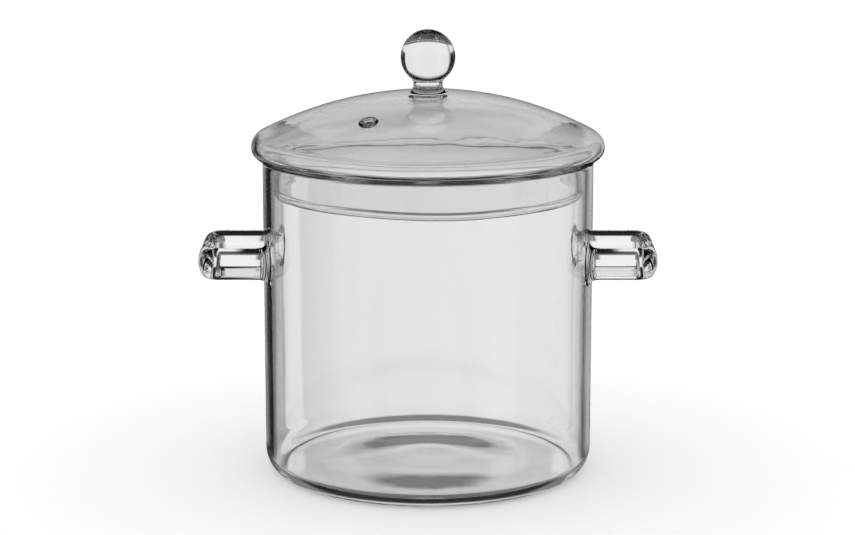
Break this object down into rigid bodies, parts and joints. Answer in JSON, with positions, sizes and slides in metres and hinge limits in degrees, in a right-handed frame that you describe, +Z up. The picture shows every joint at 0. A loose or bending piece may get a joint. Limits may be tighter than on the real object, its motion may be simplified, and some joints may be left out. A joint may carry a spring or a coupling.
{
  "type": "glass cooking pot with lid",
  "caption": "Straight-sided clear glass cooking pot with horizontal flat bar loop handles and a lift-off domed glass lid with a ball knob, inner skirt and small steam vent.",
  "frame": {"origin": "centre of the base, on the plane that the pot stands on", "axes": "+Z up along the axis of the pot, X through the two handles, -Y towards the side with the steam vent, which the picture shows from the front"},
  "size_m": [0.277, 0.2136, 0.2702],
  "materials": {
    "blown_glass": "clear blown borosilicate glass, fire polished",
    "bar_glass": "clear solid drawn glass, fire polished",
    "weld_glass": "clear flame-welded glass, slightly wavy"
  },
  "bodies": {
    "pot": {"pot_body": "blown_glass", "handle_left": "bar_glass", "handle_left_front_foot": "weld_glass", "handle_left_rear_foot": "weld_glass", "handle_right": "bar_glass", "handle_right_front_foot": "weld_glass", "handle_right_rear_foot": "weld_glass"},
    "lid": {"lid_dome": "blown_glass", "lid_skirt": "blown_glass", "lid_knob": "bar_glass", "vent_lip": "weld_glass"}
  },
  "joints": [
    {"name": "lid_lift", "type": "slide", "parent": "pot", "child": "lid", "axis": [0, 0, 1], "range_m": [0, 0.15]}
  ]
}
